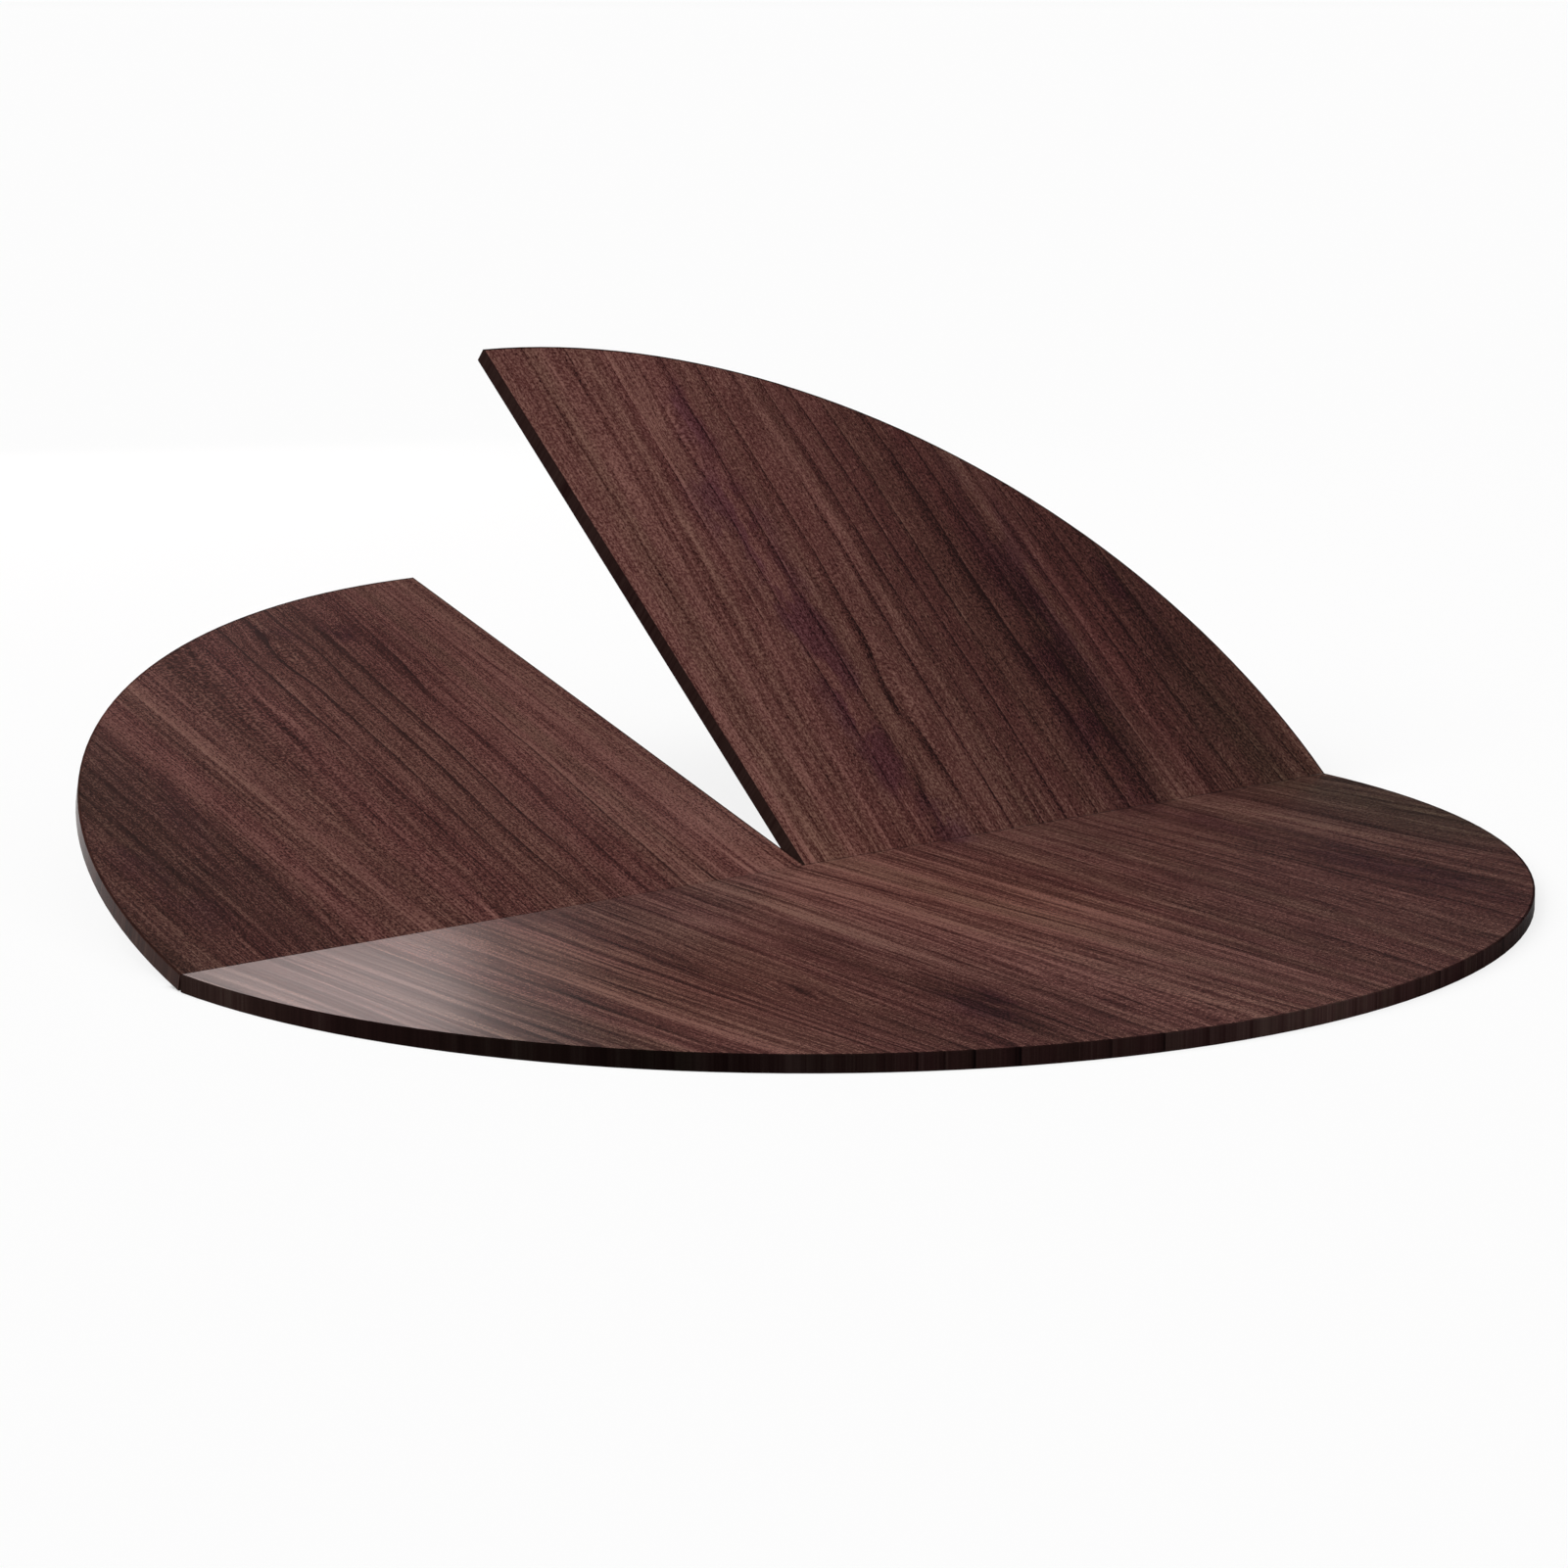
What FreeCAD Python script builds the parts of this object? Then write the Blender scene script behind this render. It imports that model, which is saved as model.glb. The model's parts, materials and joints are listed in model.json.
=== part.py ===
import FreeCAD, Part
import os
import re

# Folding round table top: a half-round panel, and two quarter-round leaves that fold up beside it.
# Each piece is drawn about the fold axis with the top lying flat, then set at its place and angle.

driving_sizes = {
    "diameter": 1200,
    "core": 12,
    "sheet": 1,
    "rim_band": 2,
    "edge_band": 1,
    "arris_radius": 0.8,
    "fold_gap": 0.5,
    "split_gap": 1,
    "axis_rise": 0.25,
    "left_angle": 16,
    "right_angle": 40,
    "full_fold": 180,
    "inner_travel": 48,
    "hinge_near": 120,
    "hinge_rim_inset": 160,
    "housing_wall": 1.6,
    "housing_floor": 1.2,
    "flange_length": 56,
    "flange_height": 9,
    "flange_thickness": 2,
    "mortise_clearance": 0.1,
    "arm_width": 5,
    "arm_thickness": 3,
    "arm_half_span": 72,
    "arm_gap": 0.4,
    "side_clearance": 0.4,
    "groove_clearance": 0.1,
    "rivet_radius": 1.2,
    "rivet_head_radius": 2.2,
    "rivet_head": 0.9,
    "slot_clearance": 0.1,
    "slot_end_angle": 11,
    "screw_pitch": 40,
    "screw_radius": 1.5,
    "screw_length": 16,
    "screw_head_radius": 3,
    "screw_head": 1.5,
    "screw_clearance": 0.05,
}

doc = FreeCAD.newDocument("FoldingTop")
sheet = doc.addObject("Spreadsheet::Sheet", "Sizes")
for row, (alias, value) in enumerate(driving_sizes.items(), start=1):
    sheet.set(f"A{row}", alias)
    sheet.set(f"B{row}", str(value))
    sheet.setAlias(f"B{row}", alias)
doc.recompute()

# Heights below the fold axis, with the top lying flat
top_face = "(-axis_rise)"
core_top = "(-axis_rise - sheet)"
core_low = "(-axis_rise - sheet - core)"
under_face = "(-axis_rise - 2 * sheet - core)"
thickness = "(core + 2 * sheet)"
band_height = "(core + sheet)"

# Plan of the boards
rim_radius = "(diameter / 2)"
board_radius = "(diameter / 2 - rim_band)"

# The origin lies on the underside of the half panel, midway between its fold edge and its rim.
axis_y = "(diameter / 4)"
axis_z = "(axis_rise + core + 2 * sheet)"

# Crescent arms and the housings that guide them
arm_outer = "(axis_rise + sheet + core - housing_floor - groove_clearance)"
arm_inner = "(axis_rise + sheet + core - housing_floor - groove_clearance - arm_width)"
arm_middle = "(axis_rise + sheet + core - housing_floor - groove_clearance - arm_width / 2)"
cavity_width = "(arm_gap + 2 * (arm_thickness + rivet_head + 2 * side_clearance))"
block_width = "(arm_gap + 2 * (arm_thickness + rivet_head + 2 * side_clearance + housing_wall))"
block_depth = "(axis_rise + sheet + core - housing_floor + housing_wall - fold_gap / 2)"
flange_low = "(-axis_rise - sheet - core / 2 - flange_height / 2)"
screw_z = "(-axis_rise - sheet - core / 2)"
hinge_far = "(diameter / 2 - hinge_rim_inset)"
rivet_swing = "(full_fold / 2 - inner_travel)"
slot_half_span = "(full_fold / 2 - inner_travel + slot_end_angle)"
inner_share = "(inner_travel / full_fold)"
outer_share = "(1 - inner_travel / full_fold)"

nodes = []


def sized(text):
    return re.sub(r"[a-z_]+", lambda word: f"Sizes.{word[0]}" if word[0] in driving_sizes else word[0], text)


def add(kind, name):
    return doc.addObject("Part::" + kind, name)


def place(piece, x="0", y="0", z="0", axis="0; 0; 1", turn="0"):
    piece.setExpression("Placement", sized(f"placement(vector({x}; {y}; {z}); rotation(vector({axis}); {turn}))"))


def box(name, x, y, z, length, width, height):
    piece = add("Box", name)
    piece.setExpression("Length", sized(length))
    piece.setExpression("Width", sized(width))
    piece.setExpression("Height", sized(height))
    place(piece, x, y, z)
    return piece


def cylinder(name, radius, height, x="0", y="0", z="0", axis="0; 0; 1", turn="0", sweep="360"):
    piece = add("Cylinder", name)
    piece.setExpression("Radius", sized(radius))
    piece.setExpression("Height", sized(height))
    piece.setExpression("Angle", sized(sweep))
    place(piece, x, y, z, axis, turn)
    return piece


def cut(name, base, tool):
    piece = add("Cut", name)
    piece.Base = base
    piece.Tool = tool
    return piece


def common(name, base, tool):
    piece = add("Common", name)
    piece.Base = base
    piece.Tool = tool
    return piece


def fuse(name, pieces):
    piece = add("MultiFuse", name)
    piece.Shapes = pieces
    return piece


def finish(piece, node, turn="0", axis="1; 0; 0", x="0"):
    piece.Label = node
    place(piece, x, axis_y, axis_z, axis, turn)
    nodes.append(piece)


class Panel:
    def __init__(self, name, side, hand, turn, hinges):
        self.name = name
        self.side = side
        self.hand = hand
        self.turn = turn
        self.hinges = hinges

    def region(self, name, fold_inset, split_inset, low, height):
        fold = f"(fold_gap / 2 + {fold_inset})"
        split = f"(split_gap / 2 + {split_inset})"
        y = fold if self.side > 0 else f"(-diameter - {fold})"
        if self.hand == 0:
            return box(name, "-diameter", y, low, "2 * diameter", "diameter", height)
        x = split if self.hand > 0 else f"(-diameter - {split})"
        return box(name, x, y, low, "diameter", "diameter", height)

    def plan_piece(self, name, radius, fold_inset, split_inset, low, height):
        disc = cylinder(name + "_disc", radius, height, z=low)
        area = self.region(name + "_area", fold_inset, split_inset, low, height)
        return common(name + "_plan", disc, area)

    def outward(self, start, size):
        return f"({start})" if self.side > 0 else f"(-({start}) - {size})"


def rounded_disc(name):
    disc = cylinder(name + "_blank", rim_radius, thickness, z=under_face)
    doc.recompute()
    rings = [number for number, edge in enumerate(disc.Shape.Edges, start=1)
             if isinstance(edge.Curve, Part.Circle)]
    piece = add("Fillet", name + "_rounded")
    piece.Base = disc
    piece.Edges = [(number, driving_sizes["arris_radius"], driving_sizes["arris_radius"]) for number in rings]
    return piece


def rim(panel):
    name = panel.name + "_rim_band"
    ring = cut(name + "_ring", rounded_disc(name), cylinder(name + "_bore", board_radius, thickness, z=under_face))
    finish(common(name, ring, panel.region(name + "_area", "0", "0", under_face, thickness)), name, panel.turn)


def mortise(panel, name, x):
    grown = "2 * mortise_clearance"
    block_size = f"({block_depth} + mortise_clearance)"
    flange_size = "(flange_thickness + mortise_clearance)"
    block = box(name + "_block", f"{x} - {block_width} / 2 - mortise_clearance",
                panel.outward("fold_gap / 2", block_size), core_low,
                f"{block_width} + {grown}", block_size, "core")
    flange = box(name + "_flange", f"{x} - flange_length / 2 - mortise_clearance",
                 panel.outward("fold_gap / 2", flange_size), f"{flange_low} - mortise_clearance",
                 f"flange_length + {grown}", flange_size, f"flange_height + {grown}")
    return [block, flange]


def screw_shape(panel, name, x, clearance, length):
    turn = "-90" if panel.side > 0 else "90"
    y = "fold_gap / 2" if panel.side > 0 else "-fold_gap / 2"
    head = add("Cone", name + "_head")
    head.setExpression("Radius1", sized("screw_head_radius"))
    head.setExpression("Radius2", sized("screw_radius"))
    head.setExpression("Height", sized("screw_head"))
    place(head, x, y, screw_z, "1; 0; 0", turn)
    shank = cylinder(name + "_shank", f"screw_radius + {clearance}", length, x, y, screw_z, "1; 0; 0", turn)
    return [head, shank]


def screw_places(x):
    return [f"({x} - screw_pitch / 2)", f"({x} + screw_pitch / 2)"]


def hinge_cuts(panel):
    tools = []
    for label, x in panel.hinges.items():
        name = f"{panel.name}_{label}"
        tools += mortise(panel, name + "_mortise", x)
        for number, place_x in enumerate(screw_places(x), start=1):
            tools += screw_shape(panel, f"{name}_pilot_{number}", place_x, "screw_clearance", "screw_length")
    return fuse(panel.name + "_hinge_cuts", tools)


def boards(panel):
    cuts = hinge_cuts(panel)
    core = panel.plan_piece(panel.name + "_core", board_radius, "edge_band", "edge_band", core_low, "core")
    finish(cut(panel.name + "_core", core, cuts), panel.name + "_core", panel.turn)

    fold_band = panel.plan_piece(panel.name + "_fold_band", board_radius, "0", "edge_band", under_face, band_height)
    inside = panel.region(panel.name + "_fold_band_inside", "edge_band", "0", under_face, band_height)
    strip = cut(panel.name + "_fold_strip", fold_band, inside)
    finish(cut(panel.name + "_fold_band", strip, cuts), panel.name + "_fold_band", panel.turn)

    top = panel.plan_piece(panel.name + "_top_sheet", board_radius, "0", "edge_band", core_top, "sheet")
    finish(top, panel.name + "_top_sheet", panel.turn)

    bottom = panel.plan_piece(panel.name + "_bottom_sheet", board_radius, "edge_band", "edge_band",
                              under_face, "sheet")
    finish(bottom, panel.name + "_bottom_sheet", panel.turn)


def split_band(panel):
    name = panel.name + "_split_band"
    edge = panel.plan_piece(name, board_radius, "0", "0", under_face, thickness)
    inside = panel.region(name + "_inside", "0", "edge_band", under_face, thickness)
    finish(cut(name, edge, inside), name, panel.turn)


def groove(name, x):
    low = f"{x} - {cavity_width} / 2"
    outer = cylinder(name + "_outer", f"{arm_outer} + groove_clearance", cavity_width, low, axis="0; 1; 0", turn="90")
    inner = cylinder(name + "_inner", f"{arm_inner} - groove_clearance", cavity_width, low, axis="0; 1; 0", turn="90")
    return cut(name, outer, inner)


def housing(panel, label, x):
    name = f"{panel.name}_{label}_housing"
    block = box(name + "_block", f"{x} - {block_width} / 2", panel.outward("fold_gap / 2", block_depth), core_low,
                block_width, block_depth, "core")
    flange = box(name + "_flange", f"{x} - flange_length / 2", panel.outward("fold_gap / 2", "flange_thickness"),
                 flange_low, "flange_length", "flange_thickness", "flange_height")
    tools = [groove(name + "_groove", x)]
    for number, place_x in enumerate(screw_places(x), start=1):
        tools += screw_shape(panel, f"{name}_hole_{number}", place_x, "screw_clearance", "screw_length")
    piece = cut(name, fuse(name + "_blank", [block, flange]), fuse(name + "_cuts", tools))
    finish(piece, name, panel.turn)


def screws(panel):
    name = panel.name + "_screws"
    group = []
    for label, x in panel.hinges.items():
        for number, place_x in enumerate(screw_places(x), start=1):
            screw = f"{panel.name}_{label}_screw_{number}"
            group.append(fuse(screw, screw_shape(panel, screw, place_x, "0", "screw_length")))
    piece = add("Compound", name)
    piece.Links = group
    finish(piece, name, panel.turn)


def crescent(name, low, turn):
    sector = cylinder(name + "_sector", arm_outer, "arm_thickness", z=low,
                      turn=f"{turn} - arm_half_span", sweep="2 * arm_half_span")
    return cut(name + "_blank", sector, cylinder(name + "_eye", arm_inner, "arm_thickness", z=low))


def arms(leaf, label, x):
    inner_turn = f"{inner_share} * {leaf.turn}"
    outer_turn = f"{outer_share} * {leaf.turn}"
    inner_low = "(-arm_gap / 2 - arm_thickness)"
    outer_low = "(arm_gap / 2)"

    inner = f"{leaf.name}_{label}_inner_arm"
    slot_turn = f"{inner_turn} - {slot_half_span}"
    slot_wide = cylinder(inner + "_slot_wide", f"{arm_middle} + rivet_radius + slot_clearance", "arm_thickness",
                         z=inner_low, turn=slot_turn, sweep=f"2 * {slot_half_span}")
    slot_core = cylinder(inner + "_slot_core", f"{arm_middle} - rivet_radius - slot_clearance", "arm_thickness",
                         z=inner_low)
    slotted = cut(inner, crescent(inner, inner_low, inner_turn), cut(inner + "_slot", slot_wide, slot_core))
    finish(slotted, inner, "90", "0; 1; 0", x)

    rivet = f"{leaf.name}_{label}_rivet"
    swing = f"({outer_turn} - {rivet_swing})"
    rivet_x = f"{arm_middle} * cos({swing} * 1deg)"
    rivet_y = f"{arm_middle} * sin({swing} * 1deg)"
    head_low = "(-arm_gap / 2 - arm_thickness - side_clearance - rivet_head)"
    shank_length = "(arm_gap + 2 * arm_thickness + side_clearance + rivet_head)"
    head = cylinder(rivet + "_head", "rivet_head_radius", "rivet_head", rivet_x, rivet_y, head_low)
    shank = cylinder(rivet + "_shank", "rivet_radius", shank_length, rivet_x, rivet_y, head_low)
    finish(fuse(rivet, [head, shank]), rivet, "90", "0; 1; 0", x)

    outer = f"{leaf.name}_{label}_outer_arm"
    hole = cylinder(outer + "_hole", "rivet_radius", "arm_thickness", rivet_x, rivet_y, outer_low)
    finish(cut(outer, crescent(outer, outer_low, outer_turn), hole), outer, "90", "0; 1; 0", x)


right_hinges = {"near": "hinge_near", "far": hinge_far}
left_hinges = {"near": "(-hinge_near)", "far": f"(-{hinge_far})"}
half_hinges = {"right_near": right_hinges["near"], "right_far": right_hinges["far"],
               "left_near": left_hinges["near"], "left_far": left_hinges["far"]}
half = Panel("half", -1, 0, "0", half_hinges)
left_leaf = Panel("left_leaf", 1, -1, "left_angle", left_hinges)
right_leaf = Panel("right_leaf", 1, 1, "right_angle", right_hinges)

for panel in (half, left_leaf, right_leaf):
    boards(panel)
    rim(panel)
    screws(panel)
    for label, x in panel.hinges.items():
        housing(panel, label, x)
for leaf in (left_leaf, right_leaf):
    split_band(leaf)
    for label, x in leaf.hinges.items():
        arms(leaf, label, x)

doc.recompute()
for piece in doc.Objects:
    if "Invalid" in piece.State or "Error" in piece.State:
        raise RuntimeError(f"{piece.Name} did not build: {piece.State}")
os.makedirs("parts", exist_ok=True)
for piece in nodes:
    if piece.Shape.isNull() or not piece.Shape.isValid():
        raise RuntimeError(f"{piece.Label} has no valid shape")
    piece.Shape.exportStep(f"parts/{piece.Label}.step")
    print(piece.Label, len(piece.Shape.Solids), round(piece.Shape.Volume, 1))
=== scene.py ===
import json
import math

import bpy
from mathutils import Euler, Matrix, Vector


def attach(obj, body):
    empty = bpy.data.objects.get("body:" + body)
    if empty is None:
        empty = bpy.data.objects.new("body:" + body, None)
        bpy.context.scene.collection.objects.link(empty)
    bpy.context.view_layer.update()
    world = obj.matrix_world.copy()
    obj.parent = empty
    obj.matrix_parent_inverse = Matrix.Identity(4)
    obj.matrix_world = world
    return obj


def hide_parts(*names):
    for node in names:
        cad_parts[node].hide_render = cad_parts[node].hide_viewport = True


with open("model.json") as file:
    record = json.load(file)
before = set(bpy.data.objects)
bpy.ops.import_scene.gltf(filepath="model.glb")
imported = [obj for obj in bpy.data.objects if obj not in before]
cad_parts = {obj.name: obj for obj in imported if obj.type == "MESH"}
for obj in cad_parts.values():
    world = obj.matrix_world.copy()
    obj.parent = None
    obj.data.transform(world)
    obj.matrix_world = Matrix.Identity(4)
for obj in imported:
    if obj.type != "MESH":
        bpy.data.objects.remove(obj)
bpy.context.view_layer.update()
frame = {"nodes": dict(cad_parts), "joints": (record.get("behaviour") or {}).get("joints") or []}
nodes = frame["nodes"]
scene = bpy.context.scene
scene.view_settings.view_transform = "Standard"
print("frame loaded,", len(nodes), "nodes")

# the fold line, and how far each panel is turned up from flat, as the joints give them
folds = {joint["name"]: joint for joint in frame["joints"]}
foldLine = Vector(folds["left_fold"]["pos_m"])
panelRise = {
    "half": 0.0,
    "left_leaf": math.radians(-folds["left_fold"]["range_deg"][0]),
    "right_leaf": math.radians(-folds["right_fold"]["range_deg"][0]),
}

white = (1.0, 1.0, 1.0, 1.0)
noiseMiddle = 0.5
noiseDrift = (1.0, 0.37, 0.61)  # the way that a shift moves a layer of noise


class Wire:
    # one socket of a node tree, so that sums on it can be written as sums
    def __init__(self, tree, socket=None):
        self.tree = tree
        self.socket = socket

    def node(self, kind, settings=None, sockets=None, out=0):
        made = self.tree.nodes.new("ShaderNode" + kind)
        for name, value in (settings or {}).items():
            if name == "stops":
                elements = made.color_ramp.elements
                while len(elements) < len(value):
                    elements.new(1.0)
                for element, (place, colour) in zip(elements, value):
                    element.position = place
                    element.color = colour
            elif name == "easing":
                made.color_ramp.interpolation = value
            else:
                setattr(made, name, value)
        fit(made, sockets or {})
        return Wire(self.tree, made.outputs[out])

    def maths(self, operation, first, second=0.0):
        return self.node("Math", {"operation": operation}, {0: first, 1: second})

    def __add__(self, other):
        return self.maths("ADD", self, other)

    def __radd__(self, other):
        return self.maths("ADD", other, self)

    def __sub__(self, other):
        return self.maths("SUBTRACT", self, other)

    def __rsub__(self, other):
        return self.maths("SUBTRACT", other, self)

    def __mul__(self, other):
        return self.maths("MULTIPLY", self, other)

    def __rmul__(self, other):
        return self.maths("MULTIPLY", other, self)

    def __truediv__(self, other):
        return self.maths("DIVIDE", self, other)

    def __pow__(self, other):
        return self.maths("POWER", self, other)

    def part(self):
        return self.maths("FRACT", self)

    def between(self, low, high):
        # 0 at low and 1 at high, eased, and level outside them
        return self.node("MapRange", {"interpolation_type": "SMOOTHSTEP"},
                         {"Value": self, "From Min": low, "From Max": high})

    def here(self):
        return self.node("TexCoord", out="Object")

    def axis(self, number):
        return self.node("SeparateXYZ", None, {"Vector": self}, number)

    def stretched(self, x, y, z=0.0, shift=0.0):
        scaled = self.node("VectorMath", {"operation": "MULTIPLY"}, {0: self, 1: (x, y, z)})
        moved = [share * shift for share in noiseDrift]
        return self.node("VectorMath", {"operation": "ADD"}, {0: scaled, 1: moved})

    def noise(self, detail, rough):
        return self.node("TexNoise", None,
                         {"Vector": self, "Scale": 1.0, "Detail": detail, "Roughness": rough})

    def ramp(self, stops, easing="LINEAR"):
        return self.node("ValToRGB", {"stops": stops, "easing": easing}, {"Fac": self})

    def colours(self, how, factor, first, second):
        # sockets 0, 6 and 7 of a Mix node are the factor and the two colours, and output 2 is the colour
        return self.node("Mix", {"data_type": "RGBA", "blend_type": how},
                         {0: factor, 6: first, 7: second}, 2)

    def mixed(self, first, second):
        # this wire is the factor between two colours
        return self.colours("MIX", self, first, second)

    def times(self, colour):
        return self.colours("MULTIPLY", 1.0, self, colour)

    def bumped(self, depth, strength):
        return self.node("Bump", None, {"Height": self, "Distance": depth, "Strength": strength})


def fit(node, sockets):
    # links the wires to a node's sockets and sets the plain values on them
    for name, value in sockets.items():
        if isinstance(value, Wire):
            value.tree.links.new(value.socket, node.inputs[name])
        else:
            node.inputs[name].default_value = value


def newFinish(name):
    material = bpy.data.materials.new(name)
    material.use_nodes = True
    return material, Wire(material.node_tree), material.node_tree.nodes["Principled BSDF"]


def laidFlat(wire, rise):
    # Object coordinates turned back to the flat top, measured from the middle of the fold line
    turn = Euler((-rise, 0.0, 0.0))
    shift = -(turn.to_matrix() @ foldLine)
    return wire.node("Mapping", None, {"Vector": wire.here(), "Location": shift, "Rotation": turn})


def layer(lay, sizes):
    # noise by its scale along X, Y and Z, its shift, detail and roughness, and where it fades in, if it does
    x, y, z, shift, detail, rough, *edge = sizes
    noise = lay.stretched(x, y, z, shift).noise(detail, rough)
    return noise.between(*edge) if edge else noise


def centred(lay, sizes):
    return layer(lay, sizes) - noiseMiddle


def greys(stops):
    return [(place, (tone, tone, tone, 1.0)) for place, tone in stops]


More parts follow.
